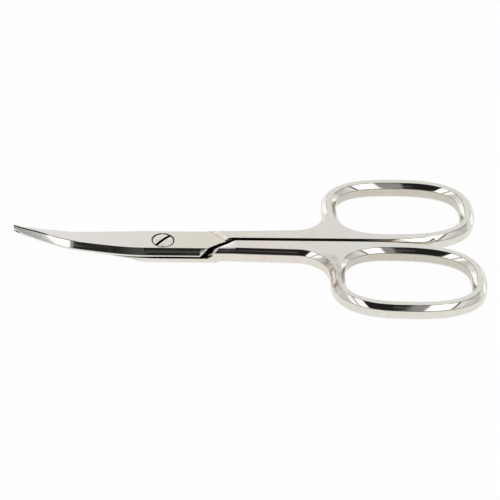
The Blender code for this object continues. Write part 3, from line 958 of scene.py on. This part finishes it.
def turned_sheet(graph, inputs):
    """A sheet whose rows follow the profile and whose columns turn about the pivot's axis."""
    rows = inputs["Profile Points"]
    values = {"Vertices X": inputs["Facets"] + 1, "Vertices Y": rows}
    sheet = graph.node("GeometryNodeMeshGrid", None, values)
    index = graph.node("GeometryNodeInputIndex")
    row = index % rows
    turn = (index - row) / rows * (2.0 * math.pi) / inputs["Facets"]
    settings = {"data_type": "FLOAT_VECTOR", "domain": "POINT"}
    position = graph.node("GeometryNodeInputPosition")
    values = {"Geometry": inputs["Geometry"], "Value": position, "Index": row}
    radius, _, height = graph.split(graph.node("GeometryNodeSampleIndex", settings, values))
    x = radius * turn.math("COSINE", turn)
    y = radius * turn.math("SINE", turn)
    place = graph.node("ShaderNodeCombineXYZ", None, {"X": x, "Y": y, "Z": height})
    turned = graph.node("GeometryNodeSetPosition", None, {"Geometry": sheet, "Position": place})
    return graph.node("GeometryNodeMergeByDistance", None, {"Geometry": turned, "Distance": WELD})


def slot_cutter(graph, inputs):
    """The bar that cuts the driver's slot."""
    values = {"X": inputs["Slot Length"], "Y": inputs["Slot Width"], "Z": inputs["Slot Height"]}
    size = graph.node("ShaderNodeCombineXYZ", None, values)
    values = {"Geometry": graph.node("GeometryNodeMeshCube", None, {"Size": size})}
    for key, label in (("Translation", "Slot Middle"), ("Rotation", "Slot Angle")):
        values[key] = graph.node("ShaderNodeCombineXYZ", None, {"Z": inputs[label]})
    return graph.node("GeometryNodeTransform", None, values)


def screw_tree():
    """Turns a profile about the pivot's axis and cuts the driver's slot."""
    counts = ("Profile Points", "Facets")
    lengths = ("Slot Length", "Slot Width", "Slot Height", "Slot Middle", "Slot Angle")
    sizes = {label: "NodeSocketInt" for label in counts}
    sizes.update({label: "NodeSocketFloat" for label in lengths})
    sizes["Steel"] = "NodeSocketMaterial"
    group, keys, graph, inputs = geometry_tree("turned_screw", sizes)
    cut = boolean(graph, "DIFFERENCE", turned_sheet(graph, inputs), [slot_cutter(graph, inputs)])
    end_tree(graph, cut, inputs["Steel"])
    return group, keys


def run_tree(item, tree, values):
    """The plain mesh that a tree makes of an object, with its modifier gone."""
    group, keys = tree
    modifier = item.modifiers.new(group.name, "NODES")
    modifier.node_group = group
    for label, value in values.items():
        modifier[keys[label]] = value
    return applied(item)


def applied(item):
    """The object with its mesh replaced by what its modifiers make of it."""
    depsgraph = bpy.context.evaluated_depsgraph_get()
    mesh = bpy.data.meshes.new_from_object(item.evaluated_get(depsgraph))
    item.modifiers.clear()
    item.data = mesh
    return item


def level_flats(item):
    """Gives the corners of level faces an upright normal, so that a flat mirrors as one plane."""
    mesh = item.data
    corners = [corner.vector.copy() for corner in mesh.corner_normals]
    for face in mesh.polygons:
        if abs(face.normal.z) > LEVEL_SHARE:
            for index in face.loop_indices:
                corners[index] = face.normal.copy()
    mesh.normals_split_custom_set(corners)
    return item


def polish(item):
    """Welds the mesh, turns its faces outward and gives it even normals."""
    mesh = item.data
    bm = bmesh.new()
    bm.from_mesh(mesh)
    bmesh.ops.remove_doubles(bm, verts=bm.verts, dist=WELD)
    bmesh.ops.dissolve_degenerate(bm, edges=bm.edges, dist=WELD)
    bmesh.ops.recalc_face_normals(bm, faces=bm.faces)
    bm.to_mesh(mesh)
    bm.free()
    mesh.shade_smooth()
    mesh.set_sharp_from_angle(angle=math.radians(SHARP_DEGREES))
    even_normals = item.modifiers.new("even_normals", "WEIGHTED_NORMAL")
    even_normals.keep_sharp = True
    return level_flats(applied(item))


# Materials

def noise(graph, place, scale, detail, roughness, *levels):
    """Noise, or how far it is from the first of two levels to the second."""
    values = {"Vector": place, "Scale": scale, "Detail": detail, "Roughness": roughness}
    plain = graph.node("ShaderNodeTexNoise", {"noise_dimensions": "3D"}, values)
    return plain.ramp(*levels) if levels else plain


def object_place(graph):
    return graph.node("ShaderNodeTexCoord", output="Object")


def from_axis(graph, place):
    """Distance from the pivot's axis."""
    x, y, _ = graph.split(place)
    return (x * x + y * y) ** 0.5


def shine(graph, colour, roughness, bump, strength):
    """Metal with a varying colour and gloss, and fine relief."""
    values = {"Height": bump, "Strength": strength, "Distance": RELIEF_DEPTH}
    relief = graph.node("ShaderNodeBump", None, values, output="Normal")
    values = {"Base Color": colour, "Roughness": roughness, "Metallic": 1.0, "Normal": relief}
    shader = graph.node("ShaderNodeBsdfPrincipled", None, values)
    graph.node("ShaderNodeOutputMaterial", None, {"Surface": shader}, output=None)


class Steel:
    """One half's surface: its place along each axis and from the pivot, and its patterns."""

    def __init__(self, graph, seed):
        self.graph = graph
        self.place = object_place(graph)
        self.x, self.y, self.z = graph.split(self.place)
        self.radius = from_axis(graph, self.place)
        values = {0: self.place, 1: (seed, seed, seed)}
        self.shifted = graph.node("ShaderNodeVectorMath", {"operation": "ADD"}, values)
        self.stain = self.pattern(STAINS)
        self.fleck = self.pattern(FLECKS)

    def pattern(self, sizes):
        return noise(self.graph, self.shifted, *sizes)

    def lines(self, stretch, sizes):
        """Noise drawn out into lines."""
        values = {"Vector": self.shifted, "Scale": stretch}
        stretched = self.graph.node("ShaderNodeMapping", {"vector_type": "POINT"}, values)
        return noise(self.graph, stretched, *sizes)

    def mark(self, limits):
        """One where every band and fade of a mark holds."""
        mark = 1.0
        for part, *numbers in limits:
            along = getattr(self, part)
            mark = mark * (along.within(*numbers) if len(numbers) == 3 else along.ramp(*numbers))
        return mark


def patchy(share, patches):
    """A mark that shows its share everywhere and the rest where the patches are."""
    return share + (1.0 - share) * patches


def stained_tone(steel):
    """The steel's tone, which drifts along its length, with faint stains and flecks."""
    graph = steel.graph
    colour = STEEL_TONES[0][1] + (1.0,)
    for (start, _), (end, tone) in zip(STEEL_TONES, STEEL_TONES[1:]):
        colour = graph.mix(steel.x.ramp(start, end), colour, tone + (1.0,))
    colour = graph.tinted(steel.stain, colour, WARM_STAIN)
    colour = graph.tinted(steel.fleck, colour, LILAC_FLECK)
    return graph.tinted(1.0 - steel.fleck, colour, GREEN_FLECK)


def ring_inside(steel):
    """One inside the middle line of either ring's bar."""
    along = abs(steel.x - RING_MIDDLE[0]) / RING_MIDDLE_REACH[0]
    aside = abs(abs(steel.y) - RING_MIDDLE[1]) / RING_MIDDLE_REACH[1]
    return (along**RING_FULLNESS_SHARE + aside**RING_FULLNESS_SHARE).ramp(*RING_MIDDLE_FADE)


def painted_wall_shade(steel, colour):
    """Painted shade on the upright walls of shank and ring, most inside the finger hole."""
    walls = steel.mark(WALLS)
    colour = steel.graph.tinted(walls * patchy(WALL_SHADE_SHARE, steel.stain), colour, OUTER_WALL_SHADE)
    return steel.graph.tinted(walls * ring_inside(steel), colour, HOLE_WALL_SHADE)


def painted_step_shade(steel, side):
    """One where shade is painted: on the walls that face each other across the gap at the step."""
    if side == LOWER:
        return steel.mark(LOWER_STEP)
    top = ((steel.x - SHOULDER_START) * UPPER_STEP_SLOPE + UPPER_STEP_HEIGHT).min(UPPER_STEP_TOP)
    return steel.mark(UPPER_STEP) * (top - steel.z).ramp(*UPPER_STEP_FADE)


def ramp_foot_shade(steel):
    """One along the thin line of painted shade in the crease where the joint's flat meets its ramp.
    """
    run = FLAT_END_OUTER - FLAT_END_INNER
    rise = EDGE_HALF_WIDTH - HANDLE_CHAMFER
    length = math.hypot(run, rise)
    across = (steel.x - FLAT_END_INNER) * (rise / length) - steel.y * (run / length)
    line = across.within(*RAMP_FOOT_WIDTH) * steel.mark(RAMP_FOOT)
    return line * noise(steel.graph, steel.place, *FOOT_BREAKS)


def crest_reflection_line(steel):
    """One along the blade's crest, where a dark reflection of its rounded edge is painted; thick at
    the tip.
    """
    stations = np.linspace(-BLADE_ROOT, -BLADE_LENGTH, CREST_STATIONS)
    crest = [sum(spine_side(float(station))) for station in stations]
    slopes = np.diff(crest) / np.diff(stations)
    line = crest[0]
    for station, turn in zip(stations.tolist(), np.diff(slopes, prepend=0.0).tolist()):
        line = line - (station - steel.x).max(0.0) * turn
    aside = abs(steel.y - line)
    thick = aside.ramp(*THICK_CREST_WIDTH) * steel.mark(THICK_CREST)
    return thick.max(aside.ramp(*THIN_CREST_WIDTH) * steel.mark(THIN_CREST))


def painted_highlight_mask(steel):
    """One where a highlight is painted: along the step's rounded edge, and down the corner where it
    meets the shank's side.
    """
    front = (steel.x - steel.z * HIGHLIGHT_CORNER_SLANT).ramp(*HIGHLIGHT_CORNER_FADE)
    return steel.mark(HIGHLIGHT_TOP).max(front * steel.mark(HIGHLIGHT_CORNER))


def joint_marks(steel, colour, grime_and_shade, side):
    """Grime and painted shade round the screw, painted shade at its seat, at the step, on the ramp
    and at its foot.
    """
    graph = steel.graph
    # Grime and painted shade in a ring round the screw head
    colour = graph.mix(grime_and_shade * GRIME_AND_SHADE_SHARE, colour, GRIME_AND_SHADE)
    # Painted shade in the gap round the screw head, and on the seat's far rim behind it
    seat = steel.mark(SEAT_WALL).max(steel.mark(SEAT_RIM) * steel.pattern(RIM_BREAKS))
    colour = graph.mix(seat, colour, SEAT_SHADE)
    # Painted shade on the walls across the gap at the step
    colour = graph.mix(painted_step_shade(steel, side), colour, STEP_SHADE)
    # Painted shade on the ramp up to the shank
    colour = graph.tinted(steel.mark(RAMP) * patchy(RAMP_SHARE, steel.fleck), colour, RAMP_SHADE)
    # Painted shade along the crease at the ramp's foot
    return graph.mix(ramp_foot_shade(steel), colour, FOOT_SHADE_LINE)


def painted_edge_reflections(steel, colour):
    """Painted dark reflections: thin lines along the chamfers' rounded edges and the blade's crest.
    """
    edges = (steel.mark(CHAMFER_TOP) + steel.mark(CHAMFER_FOOT)) * steel.pattern(EDGE_BREAKS)
    # Painted dark reflections along the chamfers' rounded edges
    colour = steel.graph.tinted(edges, colour, EDGE_REFLECTION_LINE)
    return steel.graph.mix(crest_reflection_line(steel), colour, CREST_REFLECTION_LINE)


def upper_marks(steel, colour):
    """Painted shade along the gap between the shanks: a dark line which turns brown and fades
    toward the ring.
    """
    dark = steel.graph.mix(steel.mark(LIP_BROWN), LIP_SHADE, LIP_SHADE_END)
    return steel.graph.mix(steel.mark(LIP), colour, dark)


def lower_marks(steel, colour, highlight):
    """A stained neck at the ring, the mottled heel of the blade and a painted highlight on the
    step's rounded edge.
    """
    graph = steel.graph
    colour = graph.tinted(steel.mark(NECK) * patchy(NECK_SHARE, steel.stain), colour, NECK_STREAK)
    colour = graph.tinted(steel.mark(HEEL) * patchy(HEEL_SHARE, steel.fleck), colour, HEEL_SHADE)
    # Painted highlight along the step's rounded edge
    return graph.mix(highlight, colour, PAINTED_HIGHLIGHT)


def nickel_finish(steel, highlight, grime_and_shade):
    """Roughness and relief: soft waves, rubbed lines, and the grinding of the blade and its tip."""
    blade = steel.mark(GROUND_BLADE)
    grind = steel.lines(GRIND_STRETCH, GRIND_LINES)
    rub = steel.lines(RUB_STRETCH, RUB_LINES)
    tip = steel.mark(GROUND_TIP) * (TIP_ROUGHNESS + TIP_LINE_ROUGHNESS * grind)
    rough = NICKEL_ROUGHNESS + highlight * HIGHLIGHT_ROUGHNESS + tip + STAIN_ROUGHNESS * steel.stain
    rough = rough + RUB_ROUGHNESS * rub.ramp(*RUB_LEVELS)
    rough = rough + GRIND_ROUGHNESS * blade * grind + GRIME_ROUGHNESS * grime_and_shade
    bump = steel.pattern(WAVES) * WAVE_RELIEF + rub * RUB_RELIEF + grind * blade * GRIND_RELIEF
    return rough, bump


def polished_nickel(name, seed, side):
    """Bright nickel over forged steel, with the marks and the painted shade, reflections and
    highlight of one half.
    """
    material, graph = material_graph(name)
    steel = Steel(graph, seed)
    # Grime and painted shade in a ring round the screw
    grime_and_shade = steel.mark(ROUND_SCREW) * steel.pattern(GRIME_AND_SHADE_SPECKS)
    # Painted shade on the walls, deepest inside the finger hole
    colour = painted_wall_shade(steel, stained_tone(steel))
    colour = joint_marks(steel, colour, grime_and_shade, side)
    colour = painted_edge_reflections(steel, colour)
    # Painted highlight on the lower half's step edge
    highlight = painted_highlight_mask(steel) if side == LOWER else 0.0
    colour = upper_marks(steel, colour) if side == UPPER else lower_marks(steel, colour, highlight)
    rough, bump = nickel_finish(steel, highlight, grime_and_shade)
    shine(graph, colour, rough, bump, NICKEL_RELIEF)
    return material


def turned_steel(name):
    """The screw: fine rings from turning, faint stains and painted shade in the slot."""
    material, graph = material_graph(name)
    place = object_place(graph)
    radius = from_axis(graph, place)
    rings = radius.math("SINE", radius * (2.0 * math.pi / TURNING_PITCH)) * 0.5 + 0.5
    stain = noise(graph, place, *SCREW_STAINS)
    stained = tuple(part * SCREW_STAIN_SHARE for part in SCREW_TONE) + (1.0,)
    colour = graph.mix(stain.ramp(*SCREW_STAIN_LEVELS), SCREW_TONE + (1.0,), stained)
    x, y, _ = graph.split(place)
    slot = math.radians(SLOT_ANGLE_DEGREES)
    across = abs(y * math.cos(slot) - x * math.sin(slot))
    # Painted shade in the driver's slot
    colour = graph.mix(across.ramp(*SLOT_FADE), colour, SLOT_SHADE)
    rough = SCREW_ROUGHNESS + SCREW_STAIN_ROUGHNESS * stain + TURNING_ROUGHNESS * rings
    shine(graph, colour, rough, rings * TURNING_RELIEF + stain * SCREW_STAIN_RELIEF, SCREW_RELIEF)
    return material


# Pieces

def make_half(name, side, tree, steel):
    plate = handle_plate(name, side)
    lap = lap_blank(name + "_lap", side)
    step = step_cutter(name + "_step", side)
    flat = joint_flat_cutter(name + "_flat") if side == UPPER else None
    seat = SEAT_RADIUS if side == UPPER else SCREW_SHAFT_RADIUS / 2
    values = {
        "Lap": lap,
        "Step Cutter": step,
        "Flat Cutter": flat,
        "Blade Length": BLADE_LENGTH,
        "Bore Radius": SCREW_SHAFT_RADIUS + SCREW_RUNNING_FIT,
        "Seat Radius": seat,
        "Seat Bottom": JOINT_THICKNESS - SEAT_DEPTH,
        "Top": JOINT_THICKNESS + CUT_OVERRUN,
        "Bottom": -CUT_OVERRUN,
        "Steel": steel,
    }
    run_tree(plate, tree, values)
    for helper in filter(None, (lap, step, flat)):
        bpy.data.objects.remove(helper)
    return polish(plate)


def screw_levels():
    """Heights of the screw head's underside, rim and crown."""
    under = JOINT_THICKNESS - SEAT_DEPTH + HEAD_LIFT
    rim = under + SCREW_HEAD_RIM
    return under, rim, rim + SCREW_HEAD_DOME


def screw_profile():
    """Outer side of the screw from its crown down to its end."""
    under, rim, crown = screw_levels()
    dome_radius = (SCREW_HEAD_RADIUS**2 + SCREW_HEAD_DOME**2) / (2.0 * SCREW_HEAD_DOME)
    half_angle = math.asin(SCREW_HEAD_RADIUS / dome_radius)
    rounding = SCREW_EDGE_ROUNDING
    dome_end = 1.0 - rounding / SCREW_HEAD_RADIUS
    points = []
    for share in np.linspace(0.0, dome_end, FILLET_POINTS):
        turn = half_angle * share
        points.append((dome_radius * math.sin(turn), crown - dome_radius * (1.0 - math.cos(turn))))
    corner = Vector((SCREW_HEAD_RADIUS, rim + rounding / 4))
    first = Vector(points[-1])
    last = Vector((SCREW_HEAD_RADIUS, rim - rounding))
    for share in (*EASE_SHARES, 1.0):
        points.append(tuple(first.lerp(corner, share).lerp(corner.lerp(last, share), share)))
    points += [
        (SCREW_HEAD_RADIUS, under),
        (SCREW_SHAFT_RADIUS, under),
        (SCREW_SHAFT_RADIUS, 0.0),
        (0.0, 0.0),
    ]
    return points


def make_screw(name, steel):
    profile = [(x, 0.0, z) for x, z in screw_profile()]
    mesh = bpy.data.meshes.new(name)
    mesh.from_pydata(profile, [(k, k + 1) for k in range(len(profile) - 1)], [])
    screw = bpy.data.objects.new(name, mesh)
    bpy.context.scene.collection.objects.link(screw)
    slot_height = SLOT_DEPTH + CUT_OVERRUN
    values = {
        "Profile Points": len(profile),
        "Facets": BORE_POINTS,
        "Slot Length": 2 * (SCREW_HEAD_RADIUS + CUT_OVERRUN),
        "Slot Width": SLOT_WIDTH,
        "Slot Height": slot_height,
        "Slot Middle": screw_levels()[-1] - SLOT_DEPTH + slot_height / 2,
        "Slot Angle": math.radians(SLOT_ANGLE_DEGREES),
        "Steel": steel,
    }
    run_tree(screw, screw_tree(), values)
    return polish(screw)


# Studio

def make_floor():
    """A pale sheet under the scissors that keeps their shadow."""
    bm = bmesh.new()
    bmesh.ops.create_grid(bm, x_segments=1, y_segments=1, size=FLOOR_SIZE / 2)
    bmesh.ops.translate(bm, verts=bm.verts, vec=(0.0, 0.0, -FLOOR_DROP))
    floor = mesh_object("floor", bm)
    material, graph = material_graph("white_paper")
    shade = (FLOOR_SHADE, FLOOR_SHADE, FLOOR_SHADE, 1.0)
    paper = graph.node("ShaderNodeBsdfDiffuse", None, {"Color": shade})
    glow = graph.node("ShaderNodeEmission", None, {"Color": (1.0, 1.0, 1.0, 1.0), "Strength": 1.0})
    seen = graph.node("ShaderNodeLightPath", output="Is Camera Ray")
    mirrored = graph.node("ShaderNodeLightPath", output="Is Glossy Ray")
    values = {0: seen.max(mirrored) * FLOOR_GLOW, 1: paper, 2: glow}
    shown = graph.node("ShaderNodeMixShader", None, values)
    graph.node("ShaderNodeOutputMaterial", None, {"Surface": shown}, output=None)
    floor.data.materials.append(material)
    return floor


def room_level(x, y, z):
    """Brightness of a white room with bright windows and a dark gap over its open front."""
    height = z.max(LOWEST_HEIGHT)
    across = x / height
    front = (0 - y) / height

    def patch(level, across_band, front_band):
        return front.within(*front_band) * across.within(*across_band) * level

    shade = front.ramp(*FRONT_SHADE_FADE) * FRONT_SHADE_SHARE
    level = (ROOM_LEVEL - shade * ROOM_LEVEL) * (1.0 - patch(*GAP))
    for sizes in PATCHES:
        level = level + patch(*sizes)
    level = level + (0 - front).ramp(*BACK_LIGHT_FADE) * BACK_LIGHT_LEVEL
    side_shade = abs(across).ramp(*SIDE_SHADE_FADE) * front.ramp(*SIDE_SHADE_FRONT_FADE)
    level = level * (1.0 - side_shade * SIDE_SHADE_SHARE)
    corner = patch(*CORNER)
    gain = across.ramp(*CORNER_GAIN_FADE) * CORNER_GAIN
    return level * (1.0 - corner) + corner * (CORNER_LEVEL + gain)


def make_world():
    """The room as the steel mirrors it, behind a plain white that the camera sees."""
    world = bpy.data.worlds.new("studio")
    bpy.context.scene.world = world
    world.use_nodes = True
    graph = Graph(world.node_tree)
    direction = graph.node("ShaderNodeTexCoord", output="Generated")
    seen = graph.node("ShaderNodeLightPath", output="Is Camera Ray")
    strength = room_level(*graph.split(direction)) * (1.0 - seen) + seen
    values = {"Color": (1.0, 1.0, 1.0, 1.0), "Strength": strength}
    sky = graph.node("ShaderNodeBackground", None, values)
    graph.node("ShaderNodeOutputWorld", None, {"Surface": sky}, output=None)


def make_camera():
    azimuth = math.radians(CAMERA_AZIMUTH)
    elevation = math.radians(CAMERA_ELEVATION)
    roll = math.radians(CAMERA_ROLL)
    back = Vector((
        math.sin(azimuth) * math.cos(elevation),
        -math.cos(azimuth) * math.cos(elevation),
        math.sin(elevation),
    ))
    level_right = Vector((math.cos(azimuth), math.sin(azimuth), 0.0))
    level_up = back.cross(level_right)
    right = level_right * math.cos(roll) + level_up * math.sin(roll)
    up = level_up * math.cos(roll) - level_right * math.sin(roll)
    data = bpy.data.cameras.new("camera")
    data.lens = CAMERA_LENS
    data.sensor_width = CAMERA_SENSOR
    data.clip_start = CAMERA_NEAR_LIMIT
    camera = bpy.data.objects.new("camera", data)
    bpy.context.scene.collection.objects.link(camera)
    turned = Matrix((right, up, back)).transposed().to_4x4()
    camera.matrix_world = Matrix.Translation(Vector(TARGET) + back * CAMERA_DISTANCE) @ turned
    bpy.context.scene.camera = camera


def main():
    tree = forge_tree()
    upper_steel = polished_nickel("upper_steel", UPPER_SEED, UPPER)
    lower_steel = polished_nickel("lower_steel", LOWER_SEED, LOWER)
    screw_steel = turned_steel("screw_steel")
    upper = make_half("upper_half_forging", UPPER, tree, upper_steel)
    lower = make_half("lower_half_forging", LOWER, tree, lower_steel)
    screw = make_screw("pivot_screw_turned", screw_steel)
    rows = (
        (upper, "upper_half", "upper_half", "upper_steel"),
        (lower, "lower_half", "lower_half", "lower_steel"),
        (screw, "lower_half", "pivot_screw", "screw_steel"),
    )
    for piece, body, node, slot in rows:
        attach(piece, body)
        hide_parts(node)
    make_floor()
    make_world()
    make_camera()
    bpy.context.scene.view_settings.view_transform = "Standard"


main()
